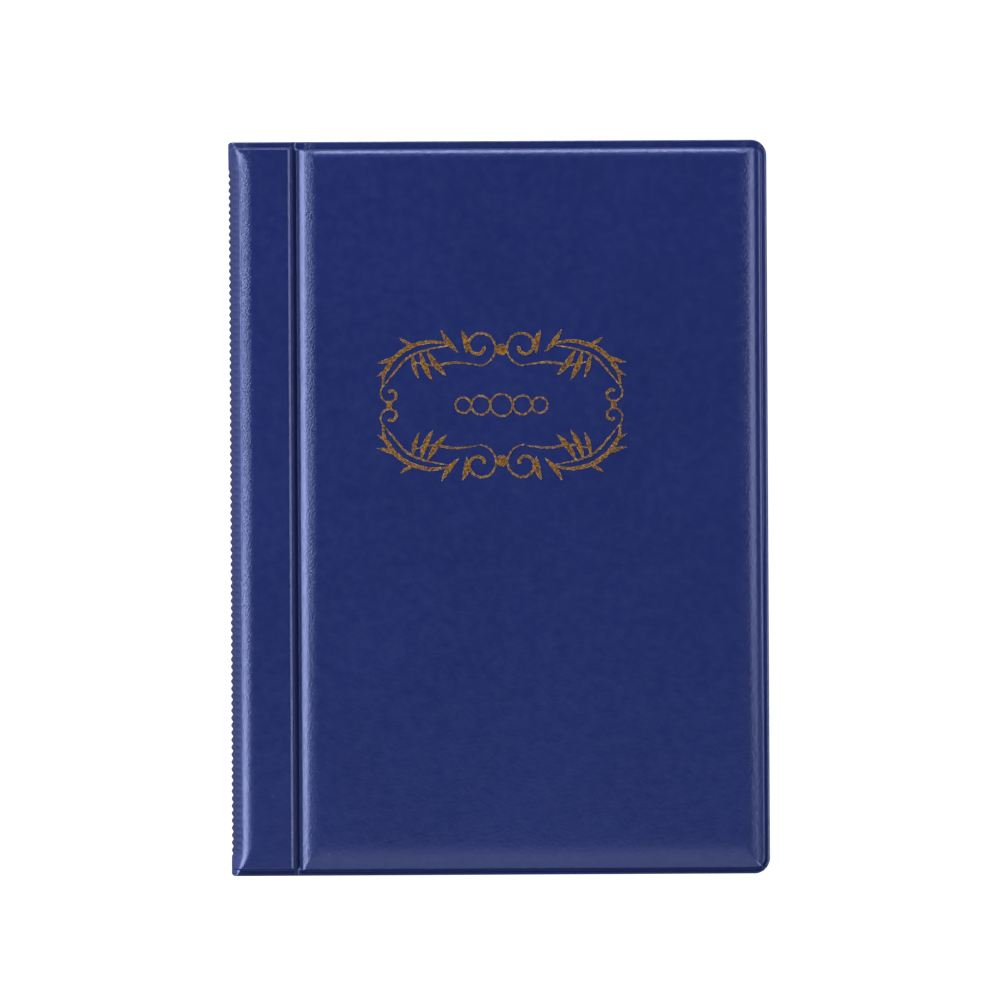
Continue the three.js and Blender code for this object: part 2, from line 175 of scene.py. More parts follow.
FOIL_CENTRE = (0.8, 24.7)
FOIL_HALF_SIZE = (31.5, 19.5)
FOIL_CELL = 0.11
FOIL_THICKNESS = 0.07
FOIL_LIFT = 0.015
RING_RADII = (2.1, 2.5, 2.9, 2.5, 2.1)
RING_OVERLAP = 0.4
RING_WIDTH = 0.5
RINGS_HALF_SIZE = (13, 4)

PICTURE_WIDTH = 241.0  # width of the camera's view at the front cover
CAMERA_LENS = 100.0
CAMERA_SENSOR = 36.0
BACKDROP_RADIUS = 6.0  # metres
FLOOR_GAP = 0.0004  # metres between the album and the floor
CAMERA_SHIFT = (0.54, 1.65)
CAMERA_ROLL = -0.3  # degrees

# Each soft light: its place and its size in metres, and its power in watts
SOFTBOXES = {
    "left_softbox": ((-0.95, 0.15, 0.43), (1.3, 0.45), 22),
    "right_softbox": ((0.95, 0.0, 0.43), (1.3, 0.45), 9.5),
    "head_softbox": ((0, 1.0, 0.46), (1.2, 0.34), 15.5),
    "foot_softbox": ((0, -0.75, 1.15), (1.6, 0.7), 5.4),
}


def box_mm(node):
    low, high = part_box(node)
    return np.array(low) / MM, np.array(high) / MM


SKIN_LOW, SKIN_HIGH = box_mm("front_cover_skin")
LINER_LOW, LINER_HIGH = box_mm("front_cover_liner")
SPINE_LOW, SPINE_HIGH = box_mm("spine_skin")
FRONT_FACE = LINER_LOW[2]  # height of the front cover's inner face
ALBUM_TOP = SKIN_HIGH[2]
COVER_THICKNESS = ALBUM_TOP - FRONT_FACE
HALF_LENGTH = SKIN_HIGH[1]
HINGE_X = (SKIN_LOW[0] + SPINE_HIGH[0]) / 2


# ---------- mesh code ----------
def steps(low, high, step):
    """Evenly spaced values from low to high, no further apart than step."""
    count = max(1, math.ceil((high - low) / step - 1e-6))
    return np.linspace(low, high, count + 1)


def merged(*groups, least=0.04):
    """All the values in order, without those that nearly repeat the one before."""
    values = np.sort(np.concatenate([np.atleast_1d(np.asarray(g, float)) for g in groups]))
    kept = [values[0]]
    for value in values[1:]:
        if value - kept[-1] > least:
            kept.append(value)
    kept[-1] = values[-1]
    return np.array(kept)


def edge_insets(fine_to=4.2, fine_step=0.13, growth=1.16, last=10.0):
    """Distances from an edge that are close together near it and spread out further in."""
    insets = list(steps(0, fine_to, fine_step))
    step = fine_step
    while insets[-1] < last:
        step *= growth
        insets.append(insets[-1] + step)
    return np.array(insets)


def smooth_curve(profile, at):
    """The height at each place of a smooth line through (place, height) pairs."""
    places, heights = np.array(profile, float).T
    slopes = np.gradient(heights, places)
    at = np.clip(at, places[0], places[-1])
    index = np.clip(np.searchsorted(places, at, side="right") - 1, 0, len(places) - 2)
    width = places[index + 1] - places[index]
    t = (at - places[index]) / width
    start = heights[index] * (1 + 2 * t) * (1 - t) ** 2 + slopes[index] * width * t * (1 - t) ** 2
    end = heights[index + 1] * t * t * (3 - 2 * t) - slopes[index + 1] * width * t * t * (1 - t)
    return start + end


def ease(value, low, high):
    """0 below low, 1 above high and smooth between them."""
    t = np.clip((value - low) / (high - low), 0, 1)
    return t * t * (3 - 2 * t)


def ripple(x, y, length, seed):
    """Soft irregular waves from -1 to 1, of about the given length."""
    total = 0
    for turn in range(4):
        angle = seed * 1.7 + turn * 2.4
        scale = 2 * math.pi / (length * (1 + 0.37 * turn))
        total = total + np.sin((x * math.cos(angle) + y * math.sin(angle)) * scale + seed * (turn + 1))
    return total / 4


def with_round_corners(x, y, x_high, half_length, radius):
    """Bends a rectangular grid so that its two fore-edge corners become round."""
    p = x - (x_high - radius)
    q = np.abs(y) - (half_length - radius)
    inside = (p > 0) & (q > 0)
    reach = np.maximum(p, q)
    scale = np.where(inside, reach / np.maximum(np.hypot(p, q), 1e-9), 1)
    bent_x = np.where(inside, x_high - radius + p * scale, x)
    bent_y = np.where(inside, np.sign(y) * (half_length - radius + q * scale), y)
    return bent_x, bent_y


def new_object(name, data):
    """A new object, in the scene."""
    made = bpy.data.objects.new(name, data)
    bpy.context.scene.collection.objects.link(made)
    return made


def add_mesh(name, points, faces, material, body=None, smooth_angle=40):
    """A new piece from points in millimetres."""
    mesh = bpy.data.meshes.new(name)
    mesh.from_pydata((np.asarray(points) * MM).tolist(), [], [tuple(map(int, face)) for face in faces])
    mesh.materials.append(material)
    mesh.polygons.foreach_set("use_smooth", np.ones(len(mesh.polygons), bool))
    mesh.set_sharp_from_angle(angle=math.radians(smooth_angle))
    piece = new_object(name, mesh)
    if body:
        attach(piece, body)
    return piece


def add_share(piece, name, share):
    """Stores a value from 0 to 1 at each point, for the piece's material."""
    layer = piece.data.attributes.new(name, "FLOAT", "POINT")
    layer.data.foreach_set("value", np.asarray(share, np.float32))


def on_both_faces(values, used):
    """Grid values for the points of a closed shell."""
    return np.concatenate([values.ravel(), values.ravel()])[used]


def grid_shell(upper, lower, kept=None):
    """Points and faces of a closed shell between two grids of points.

    Cells that aren't kept become openings, with walls round them."""
    rows, columns = upper.shape[:2]
    count = rows * columns
    numbers = np.arange(count).reshape(rows, columns)
    if kept is None:
        kept = np.ones((rows - 1, columns - 1), bool)
    corners = np.stack([numbers[:-1, :-1], numbers[1:, :-1], numbers[1:, 1:], numbers[:-1, 1:]], axis=-1)
    top = corners[kept]
    bottom = top[:, ::-1] + count
    around = np.zeros((rows + 1, columns + 1), bool)
    around[1:-1, 1:-1] = kept
    middle = around[1:-1, 1:-1]
    walls = []
    sides = (
        (around[1:-1, :-2], 0, 1),
        (around[2:, 1:-1], 1, 2),
        (around[1:-1, 2:], 2, 3),
        (around[:-2, 1:-1], 3, 0),
    )
    for neighbour, first, second in sides:
        open_side = corners[middle & ~neighbour]
        a = open_side[:, first]
        b = open_side[:, second]
        walls.append(np.stack([b, a, a + count, b + count], axis=-1))
    faces = np.concatenate([top, bottom, *walls])
    points = np.concatenate([upper.reshape(-1, 3), lower.reshape(-1, 3)])
    used, compact = np.unique(faces, return_inverse=True)
    return points[used], compact.reshape(faces.shape), used


def sheet_shell(x, y, upper, lower, kept=None):
    """A closed shell between two heights over the same grid of places."""
    return grid_shell(np.stack([x, y, upper], axis=-1), np.stack([x, y, lower], axis=-1), kept)


def lines_across(half, near, margin, step, *others):
    """Grid lines from -half to half: spaced as near by both ends, and evenly beyond the margin."""
    return merged(near - half, half - near, steps(margin - half, half - margin, step), *others)


def rounded_rim(inset):
    """How much thinner each face of a sheet is near its cut edge."""
    return SHEET_RIM * (1 - ease(inset, 0, SHEET_RIM_WIDTH))


def joined(shells):
    """One list of points and faces from several."""
    points = []
    faces = []
    count = 0
    for shell_points, shell_faces in shells:
        points.append(shell_points)
        faces.append(shell_faces + count)
        count += len(shell_points)
    return np.concatenate(points), np.concatenate(faces)


def turned_over(points):
    """The same points for the back of the album, half a turn about its long middle line."""
    return points * (1, -1, -1) + (0, 0, ALBUM_TOP)


def on_side(points, side):
    """Points given from a cover's inner face, put in place for the front or the back."""
    lifted = points + (0, 0, FRONT_FACE)
    return lifted if side == "front" else turned_over(lifted)


# ---------- node materials ----------
class Paint:
    """A new material; most methods add a node to it and give that node's output."""

    def __init__(self, name):
        self.material = bpy.data.materials.new(name)
        self.material.use_nodes = True
        self.nodes = self.material.node_tree.nodes
        self.links = self.material.node_tree.links
        self.shader = next(node for node in self.nodes if node.type == "BSDF_PRINCIPLED")

    def feed(self, socket, value):
        """Gives an input a node's output or a plain value."""
        if isinstance(value, bpy.types.NodeSocket):
            self.links.new(value, socket)
        else:
            socket.default_value = value

    def set(self, name, value):
        self.feed(self.shader.inputs[name], value)

    def node(self, kind, inputs):
        """A new node with some of its inputs given."""
        node = self.nodes.new("ShaderNode" + kind)
        for name, value in inputs.items():
            self.feed(node.inputs[name], value)
        return node

    def coordinates(self, stretch=1, turn=0):
        """Object coordinates in metres; what is drawn with them is stretched along a line turned from X."""
        place = self.node("TexCoord", {}).outputs["Object"]
        rotation = (0, 0, math.radians(turn))
        mapping = self.nodes.new("ShaderNodeMapping")
        mapping.vector_type = "TEXTURE"
        for name, value in (("Vector", place), ("Rotation", rotation), ("Scale", (stretch, 1, 1))):
            self.feed(mapping.inputs[name], value)
        return mapping.outputs["Vector"]

    def noise(self, vector, size_mm, detail=3, roughness=0.5):
        scale = 1 / (size_mm * MM)
        inputs = {"Vector": vector, "Scale": scale, "Detail": detail, "Roughness": roughness}
        return self.node("TexNoise", inputs).outputs["Fac"]

    def cells(self, vector, size_mm, feature="F1"):
        texture = self.node("TexVoronoi", {"Vector": vector, "Scale": 1 / (size_mm * MM)})
        texture.feature = feature
        return texture.outputs["Distance"]

    def ramp(self, value, *stops):
        """A colour ramp from (place, colour) pairs."""
        node = self.node("ValToRGB", {"Fac": value})
        elements = node.color_ramp.elements
        for element, (place, colour) in zip(elements, (stops[0], stops[-1])):
            element.position = place
            element.color = (*colour, 1)
        for place, colour in stops[1:-1]:
            elements.new(place).color = (*colour, 1)
        return node.outputs["Color"]

    def spread(self, value, low, high, from_low=0.3, from_high=0.7):
        """Maps the middle range of a texture value to low and high."""
        inputs = {"Value": value, "From Min": from_low, "From Max": from_high, "To Min": low, "To Max": high}
        return self.node("MapRange", inputs).outputs["Result"]

    def mixed(self, first, second, share):
        """From one colour at share 0 to another at share 1."""
        node = self.nodes.new("ShaderNodeMix")
        node.data_type = "RGBA"
        for name, colour in (("A", first), ("B", second)):
            target = next(s for s in node.inputs if s.name == name and s.type == "RGBA")
            self.feed(target, (*colour, 1) if isinstance(colour, tuple) else colour)
        self.links.new(share, node.inputs["Factor"])
        return next(s for s in node.outputs if s.type == "RGBA")

    def maths(self, operation, *values):
        node = self.nodes.new("ShaderNodeMath")
        node.operation = operation
        for socket, value in zip(node.inputs, values):
            self.feed(socket, value)
        return node.outputs["Value"]

    def attribute(self, name):
        node = self.nodes.new("ShaderNodeAttribute")
        node.attribute_name = name
        return node.outputs["Fac"]

    def duller_aslant(self, roughness):
        """Roughness that grows where the surface is seen aslant, as on embossed vinyl."""
        slant = self.node("LayerWeight", {"Blend": 0.5}).outputs["Facing"]
        share = self.spread(slant, 0, 1, 0.3, 0.95)
        return self.spread(share, roughness, 1.0, 0, 1)

    def bump(self, *heights):
        """Chains bumps, each a (height socket, strength, depth in mm)."""
        below = {}
        for height, strength, depth in heights:
            inputs = {"Height": height, "Strength": strength, "Distance": depth * MM, **below}
            below = {"Normal": self.node("Bump", inputs).outputs["Normal"]}
        self.set("Normal", below["Normal"])


def cover_vinyl():
    """Soft blue vinyl with a fine leather grain, slanting wrinkles by its edges, a few pale specks and
    painted shade in the knurled grooves of the spine.
    """
    paint = Paint("blue_vinyl")
    deep_blue = (0.0046, 0.0104, 0.072)
    clear_blue = (0.0058, 0.0124, 0.081)
    speck_colour = (0.09, 0.10, 0.2)
    # painted shade: the dark blue laid into the knurl's grooves
    knurl_painted_shade = (0.003, 0.006, 0.045)
    groove_roughness = 0.75
    here = paint.coordinates()
    clouds = paint.noise(here, 22, detail=4)
    colour = paint.ramp(clouds, (0.3, deep_blue), (0.7, clear_blue))
    specks = paint.spread(paint.cells(here, 11), 0.5, 0, 0.012, 0.02)
    colour = paint.mixed(colour, speck_colour, specks)
    # painted shade: the deeper a knurl groove is pressed, the darker its colour; the same depth also makes
    # it rougher
    pressed = paint.attribute("pressed")
    paint.set("Base Color", paint.mixed(colour, knurl_painted_shade, pressed))
    gloss = paint.noise(here, 2.4, detail=4, roughness=0.65)
    plain = paint.duller_aslant(paint.spread(gloss, 0.29, 0.39))
    paint.set("Roughness", paint.spread(pressed, plain, groove_roughness, 0, 1))
    grain = paint.cells(here, 0.75, feature="SMOOTH_F1")
    pebble = paint.noise(here, 1.1, detail=3, roughness=0.6)
    fine = paint.noise(here, 0.25, detail=2)
    wrinkles = paint.noise(paint.coordinates(stretch=3.2, turn=52), 0.3, detail=2)
    folded = paint.maths("MULTIPLY", wrinkles, paint.attribute("crease"))
    paint.bump((folded, 1, 0.26), (grain, 0.5, 0.05), (pebble, 0.6, 0.07), (fine, 0.4, 0.015))
    paint.set("Specular IOR Level", 0.85)
    paint.set("Specular Tint", (0.50, 0.58, 1.0, 1))
    return paint.material


def liner_vinyl():
    """The duller vinyl inside the covers."""
    paint = Paint("liner_vinyl")
    here = paint.coordinates()
    clouds = paint.noise(here, 14)
    paint.set("Base Color", paint.ramp(clouds, (0.3, (0.026, 0.030, 0.105)), (0.7, (0.034, 0.037, 0.125))))
    gloss = paint.noise(here, 2.1)
    paint.set("Roughness", paint.duller_aslant(paint.spread(gloss, 0.5, 0.62)))
    grain = paint.cells(here, 0.8, feature="SMOOTH_F1")
    paint.bump((grain, 0.4, 0.03), (gloss, 0.3, 0.03))
    return paint.material


def pad_foam():
    """Pale open foam, with painted shade darkening its pores."""
    paint = Paint("pad_foam")
    pores = paint.cells(paint.coordinates(), 0.6)
    # painted shade: darker where the pores sink in
    paint.set("Base Color", paint.ramp(pores, (0.0, (0.30, 0.29, 0.26)), (0.6, (0.66, 0.65, 0.60))))
    paint.bump((pores, 0.8, 0.15))
    paint.set("Roughness", 0.95)
    return paint.material


def grey_board():
    """Recycled grey board with dark and pale fibres."""
    paint = Paint("grey_board")
    fibres = paint.noise(paint.coordinates(stretch=3, turn=90), 0.5, detail=4, roughness=0.7)
    paint.set("Base Color", paint.ramp(fibres, (0.3, (0.20, 0.175, 0.15)), (0.72, (0.40, 0.36, 0.31))))
    paint.bump((fibres, 0.4, 0.05))
    paint.set("Roughness", 0.9)
    return paint.material


def clear_film():
    """Clear soft vinyl, milkier and rougher along its welds and edges."""
    paint = Paint("clear_film")
    clear = (0.42, 0.50, 0.58)
    milky = (0.56, 0.64, 0.71)
    weld_cover = 0.42
    here = paint.coordinates()
    weld = paint.attribute("weld")
    clouds = paint.noise(here, 30)
    paint.set("Base Color", paint.mixed(clear, milky, weld))
    plain_cover = paint.spread(clouds, 0.05, 0.09)
    paint.set("Alpha", paint.maths("MULTIPLY_ADD", weld, weld_cover, plain_cover))
    paint.set("Roughness", paint.spread(weld, 0.12, 0.4, 0, 1))
    knurls = paint.cells(here, 0.9)
    paint.bump((clouds, 0.25, 1.2), (knurls, 0.12, 0.04))
    return paint.material


def gold_foil():
    """Worn gold stamping foil: mottled brown gold with paler outlines."""
    paint = Paint("gold_foil")
    rubbed_off = (0.02, 0.011, 0.010)
    brown = (0.15, 0.058, 0.005)
    gold = (0.29, 0.13, 0.010)
    bright_gold = (0.42, 0.24, 0.05)
    outline_dark = (0.03, 0.02, 0.03)
    outline_brown = (0.10, 0.06, 0.035)
    outline_pale = (0.32, 0.23, 0.16)
    here = paint.coordinates()
    wear = paint.noise(here, 0.42, detail=4, roughness=0.7)
    filled = paint.ramp(wear, (0.42, rubbed_off), (0.5, brown), (0.56, gold), (0.64, bright_gold))
    scuffs = paint.noise(here, 0.8, detail=3, roughness=0.7)
    outline = paint.ramp(scuffs, (0.4, outline_dark), (0.5, outline_brown), (0.62, outline_pale))
    paint.set("Base Color", paint.mixed(outline, filled, paint.attribute("inner")))
    paint.set("Roughness", paint.spread(wear, 0.55, 0.33))
    paint.set("Metallic", paint.spread(wear, 0.1, 0.6, 0.42, 0.62))
    paint.bump((wear, 0.5, 0.05))
    return paint.material


def studio_floor():
    """A pale sweep that stays clean white under the album."""
    paint = Paint("studio_floor")
    clouds = paint.noise(paint.coordinates(), 400, detail=2)
    paint.set("Base Color", paint.ramp(clouds, (0.3, (0.1, 0.1, 0.1)), (0.7, (0.12, 0.12, 0.12))))
    paint.set("Roughness", 0.9)
    paint.set("Emission Color", (1, 1, 1, 1))
    paint.set("Emission Strength", 1.0)
    return paint.material


# ---------- padded covers ----------
def soft_least(a, b):
    """The lower of two heights, with the crease between them rounded off."""
    overlap = np.maximum(MITRE - np.abs(a - b), 0)
    return np.minimum(a, b) - overlap**2 / (4 * MITRE)


def edge_inset(x, y):
    """How far in from the edge or the hinge groove a place on a cover is, before the corners are round."""
    sides = np.minimum(SKIN_HIGH[0] - x, x - SKIN_LOW[0] + HINGE_SIDE_INSET)
    return np.minimum(sides, HALF_LENGTH - np.abs(y))


def panel_height(x, y, head):
    """Height of the padded skin over the cover's inner face, whose head lies towards y times head."""
    hinge_side = smooth_curve(HINGE_PROFILE, x - SKIN_LOW[0] + HINGE_SIDE_INSET)
    fore_side = smooth_curve(FORE_PROFILE, SKIN_HIGH[0] - x)
    softened = smooth_curve(FORE_FOOT_PROFILE, SKIN_HIGH[0] - x)
    footward = 1 - ease(head * y, -HALF_LENGTH, HALF_LENGTH * 0.6)
    fore_side = fore_side + (softened - fore_side) * footward
    head_end = smooth_curve(HEAD_PROFILE, HALF_LENGTH - head * y)
    foot_end = smooth_curve(FOOT_PROFILE, HALF_LENGTH + head * y)
    return soft_least(np.minimum(hinge_side, fore_side), np.minimum(head_end, foot_end))


def panel_swell(x, y, crown):
    """The padding's rise towards the middle, with faint unevenness."""
    across = (x - SKIN_LOW[0]) / (SKIN_HIGH[0] - SKIN_LOW[0]) * 2 - 1
    along = y / HALF_LENGTH
    rise = crown * (1 - across**2) * (1 - along**2)
    inner = ease(1 - np.maximum(np.abs(across), np.abs(along)), 0.03, 0.12)
    return rise + inner * sum(height * ripple(x, y, length, seed) for height, length, seed in UNEVENNESS)


def skin_underside(inset, upper):
    """The welded edge lies on the liner, and further in the skin passes over board and foam."""
    climb = np.clip((inset - FLANGE_END) / BOARD_CLIMB, 0, 1)
    near_edge = FLANGE_FOOT + (BOARD_TOP - FLANGE_FOOT) * climb
    return np.where(inset < BOARD_FROM, near_edge, np.maximum(BOARD_TOP, upper - SKIN_THICKNESS))


def crease_share(away, crease_band, headward):
    """Where the vinyl is wrinkled: in a band beside a rounded edge, most near the head."""
    start, full_from, full_to, end = crease_band
    beside = ease(away, start, full_from) * (1 - ease(away, full_to, end))
    return beside * (0.3 + 0.7 * ease(headward, -HALF_LENGTH, HALF_LENGTH * 0.5))


def panel_grid(middle_step):
    """Places over a cover, close together by its edges."""
    near = edge_insets()
    x = merged(
        SKIN_LOW[0] + near,
        SKIN_HIGH[0] - near,
        [SKIN_HIGH[0] - FORE_CORNER_RADIUS],
        steps(SKIN_LOW[0] + near[-1], SKIN_HIGH[0] - near[-1], middle_step),
    )
    y = lines_across(HALF_LENGTH, near, near[-1], middle_step)
    return np.meshgrid(x, y, indexing="ij")


def padded_skin(side, material):
    """The outer vinyl of a cover, drawn down over its foam and welded along the edge."""
    head = 1 if side == "front" else -1
    x, y = panel_grid(2.0)
    inset = edge_inset(x, y)
    upper = panel_height(x, y, head)
    swell = panel_swell(x, y, PANEL_CROWN) if side == "front" else 0
    lower = skin_underside(inset, upper) + swell * (inset > 3)
    upper = upper + swell
    creased = crease_share(x - SKIN_LOW[0], HINGE_CREASE_BAND, head * y)
    creased = creased + FORE_CREASE * crease_share(SKIN_HIGH[0] - x, FORE_CREASE_BAND, head * y)
    x, y = with_round_corners(x, y, SKIN_HIGH[0], HALF_LENGTH, FORE_CORNER_RADIUS)
    points, faces, used = sheet_shell(x, y, upper, lower)
    name = f"{side}_cover_padded_skin"
    piece = add_mesh(name, on_side(points, side), faces, material, f"{side}_cover", smooth_angle=60)
    add_share(piece, "crease", on_both_faces(creased, used))
    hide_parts(f"{side}_cover_skin")


def foam_pad(side, material):
    """The foam under the skin, thinned towards its edges."""
    gap = 0.05  # to the skin above
    start = 3.4  # distance of the foam's edge from the cover's edge
    hinge_start = 2.0
    least = 0.08  # thickness at the foam's edge
    head = 1 if side == "front" else -1
    near = edge_insets(1.6, 0.2, 1.4, 6)
    inner_lines = steps(SKIN_LOW[0] + 9, SKIN_HIGH[0] - 10, 3)
    x = merged(SKIN_LOW[0] + hinge_start + near, SKIN_HIGH[0] - start - near, inner_lines)
    y = lines_across(HALF_LENGTH - start, near, 10 - start, 3)
    x, y = np.meshgrid(x, y, indexing="ij")
    skin = panel_height(x, y, head)
    swell = panel_swell(x, y, PANEL_CROWN) if side == "front" else 0
    foot = BOARD_TOP + 0.02
    edge = np.minimum.reduce([x - x.min(), x.max() - x, y - y.min(), y.max() - y])
    upper = np.maximum(skin - SKIN_THICKNESS - gap, foot + 0.1) + swell
    upper = foot + least + (upper - foot - least) * ease(edge, -0.4, 1.0)
    x, y = with_round_corners(x, y, x.max(), y.max(), FORE_CORNER_RADIUS - start + 1.0)
    points, faces, _ = sheet_shell(x, y, upper, np.full_like(x, foot))
    piece = add_mesh(f"{side}_cover_foam", on_side(points, side), faces, material, f"{side}_cover")
    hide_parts(f"{side}_cover_foam_pad")


def liner_faces(inset, weld_place, thickness):
    """Upper and lower face of a liner, with its weld pressed in from below."""
    rim = rounded_rim(inset)
    press = LINER_WELD_DEPTH * np.exp(-(((inset - weld_place) / LINER_WELD_HALF_WIDTH) ** 2))
    return thickness - rim, press + rim


def inner_liner(side, material):
    """The liner that closes a cover, with the weld pressed into its inner face."""
    near = edge_insets(2.2, 0.13, 1.5, 8)
    hinge_side = [SKIN_LOW[0], SKIN_LOW[0] + 0.1]
    corner = [SKIN_HIGH[0] - FORE_CORNER_RADIUS]
    x = merged(hinge_side, corner, SKIN_HIGH[0] - near, steps(SKIN_LOW[0], SKIN_HIGH[0] - 8, 4))
    y = lines_across(HALF_LENGTH, near, 8, 4)
    x, y = np.meshgrid(x, y, indexing="ij")
    inset = np.minimum(SKIN_HIGH[0] - x, HALF_LENGTH - np.abs(y))
    upper, lower = liner_faces(inset, COVER_LINER_WELD, LINER_HIGH[2] - LINER_LOW[2])
    x, y = with_round_corners(x, y, SKIN_HIGH[0], HALF_LENGTH, FORE_CORNER_RADIUS)
    points, faces, _ = sheet_shell(x, y, upper, lower)
    piece = add_mesh(f"{side}_cover_inner_liner", on_side(points, side), faces, material, f"{side}_cover")
    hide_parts(f"{side}_cover_liner")


# ---------- spine, strips and hinge grooves ----------
def end_distance(y):
    return HALF_LENGTH - np.abs(y)


def end_height(y):
    """Height over a cover's inner face that the spine keeps near its welded ends."""
    return smooth_curve(STRIP_END_PROFILE, end_distance(y))


def end_corner(y):
    """How far the spine edge steps in at its small round end corners."""
    rest = np.clip(1 - end_distance(y) / SPINE_CORNER_RADIUS, 0, 1)
    return SPINE_CORNER_RADIUS * (1 - np.sqrt(1 - rest**2))


def spine_bulge(y):
    """How far the rounding reaches from the spine edge onto the strip."""
    share = ease(end_distance(y), -1.5, SPINE_TAPER) ** 0.8
    return SPINE_END_BULGE + (SPINE_BULGE - SPINE_END_BULGE) * share


def knurl(y, around, spine_face):
    """Depth of the grooves across the spine: straight over its middle and crossing on its shoulders."""
    depth = 0
    for curve in (KNURL_CURVE, -KNURL_CURVE):
        turns = y / KNURL_PITCH + curve * around**2
        depth = np.maximum(depth, 0.5 + 0.5 * np.cos(2 * math.pi * turns))
    depth = KNURL_DEPTH * depth**KNURL_SHARPNESS
    fade = ease(HALF_LENGTH - y, KNURL_HEAD_START - KNURL_FADE, KNURL_HEAD_START + KNURL_FADE)
    fade = fade * ease(HALF_LENGTH + y, KNURL_FOOT_START - KNURL_FADE, KNURL_FOOT_START + KNURL_FADE)
    return depth * fade * spine_face


def spine_section(y, reach, drop):
    """One side of the skin's section at each y, from the hinge end to the spine's middle.

    reach is how far in from the outer surface it is, and drop is the end wall's depth."""
    hinge_end = SPINE_HIGH[0] - SPINE_LOW[0]
    wall_middle = 0.85
    least = 0.12  # thickness of the skin where it would come too near the board
    welded = 2.2  # length of the welded ends, where the skin lies on the liner
    flat = merged(steps(0, 1.5, 0.1), [0.02, 0.05, 0.08, 0.12, 0.16], [2.2, 3.2, 4.6, 6.2], least=0.015)
    bulge = spine_bulge(y)
    half = ALBUM_TOP / 2 - COVER_THICKNESS
    top = end_height(y)
    wall = hinge_end - drop + 0 * y
    rows = [(wall, FLANGE_FOOT + half + 0 * y), (wall, wall_middle + half + 0 * y)]
    for away in flat:
        place = np.maximum(hinge_end - away - reach, bulge)
        height = np.minimum(smooth_curve(STRIP_PROFILE, away), top)
        board = np.minimum(height - least, STRIP_BOARD_TOP)
        inner = np.where(end_distance(y) > welded, np.maximum(height - SKIN_THICKNESS, board), FLANGE_FOOT)
        rows.append((place, (height if reach == 0 else inner) + half))
    last = hinge_end - flat[-1] - reach
    for share in (0.33, 0.66):
        place = last + (bulge - last) * share
        rows.append((place, rows[-1][1]))
    height = rows[-1][1]
    behind = reach + (KNURL_BACKING if reach else 0)
    for angle in np.linspace(math.pi / 2, 0, SPINE_ARC_ROWS):
        place = bulge - (bulge - behind) * math.cos(angle) + 0 * y
        rows.append((place, height * math.sin(angle)))
    return rows


def spine_shell(y):
    """Outer and inner grids of points, both from the front hinge end round to the back one."""
    grids = []
    for reach, drop in ((0.0, 0.0), (SKIN_THICKNESS, SKIN_THICKNESS)):
        side = spine_section(y, reach, drop)
        around = side + [(place, -height) for place, height in side[-2::-1]]
        place = np.array([np.broadcast_to(p, y.shape) for p, _ in around])
        height = np.array([np.broadcast_to(h, y.shape) for _, h in around])
        place = np.maximum(place, reach + end_corner(y))
        grids.append((place, height))
    return grids


def wrap_spine(material):
    """The vinyl wrapped round the spine and over both strips, with its knurled back."""
    near = edge_insets(4.2, 0.13, 1.1, 6)
    row = KNURL_PITCH / KNURL_ROWS
    count = int((HALF_LENGTH - near[-1]) / row)
    y = merged(near - HALF_LENGTH, HALF_LENGTH - near, row * np.arange(-count, count + 1), least=0.1)
    (place, height), (inner_place, inner_height) = spine_shell(y)
    bulge = spine_bulge(y)
    slope_x = np.clip((bulge - place) / bulge, 0, 1) / bulge
    slope_z = height / (ALBUM_TOP / 2) ** 2
    steep = np.hypot(slope_x, slope_z) + 1e-9
    turn = np.arctan2(height / (ALBUM_TOP / 2), slope_x * bulge + 1e-9)
    around = turn * (bulge + ALBUM_TOP / 2) / 2
    band = 1 - ease(place, KNURL_WIDTH + KNURL_EDGE[0], KNURL_WIDTH + KNURL_EDGE[1])
    place = place - SPINE_FULLNESS * (1 - ease(place, 0, KNURL_WIDTH))
    depth = knurl(y[None, :], around, band)
    place = place + depth * slope_x / steep
    height = height - depth * slope_z / steep
    lengthwise = np.broadcast_to(y, place.shape)
    outer = np.stack([place + SPINE_LOW[0], lengthwise, height + ALBUM_TOP / 2], axis=-1)
    inner = np.stack([inner_place + SPINE_LOW[0], lengthwise, inner_height + ALBUM_TOP / 2], axis=-1)
    points, faces, used = grid_shell(outer, inner)
    piece = add_mesh("wrapped_spine", points, faces[:, ::-1], material, "binding", 70)
    creased = crease_share(place, SPINE_CREASE_BAND, lengthwise)
    add_share(piece, "crease", on_both_faces(creased, used))
    # the knurl's depth, which paints shade into the grooves and makes them rougher
    add_share(piece, "pressed", on_both_faces(depth / KNURL_DEPTH, used))
    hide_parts("spine_skin")


def strip_inner_liner(side, material):
    """The liner under a strip, with its end welds pressed in."""
    low, high = box_mm("front_strip_liner")
    x = merged([low[0], low[0] + 0.1, high[0] - 0.1, high[0]], steps(low[0], high[0], 1.5))
    near = edge_insets(2.2, 0.13, 1.5, 8)
    y = lines_across(high[1], near, 8, 4)
    x, y = np.meshgrid(x, y, indexing="ij")
    upper, lower = liner_faces(high[1] - np.abs(y), STRIP_LINER_WELD, high[2] - low[2])
    points, faces, _ = sheet_shell(x, y, upper, lower)
    piece = add_mesh(f"{side}_strip_inner_liner", on_side(points, side), faces, material, "binding")
    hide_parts(f"{side}_strip_liner")


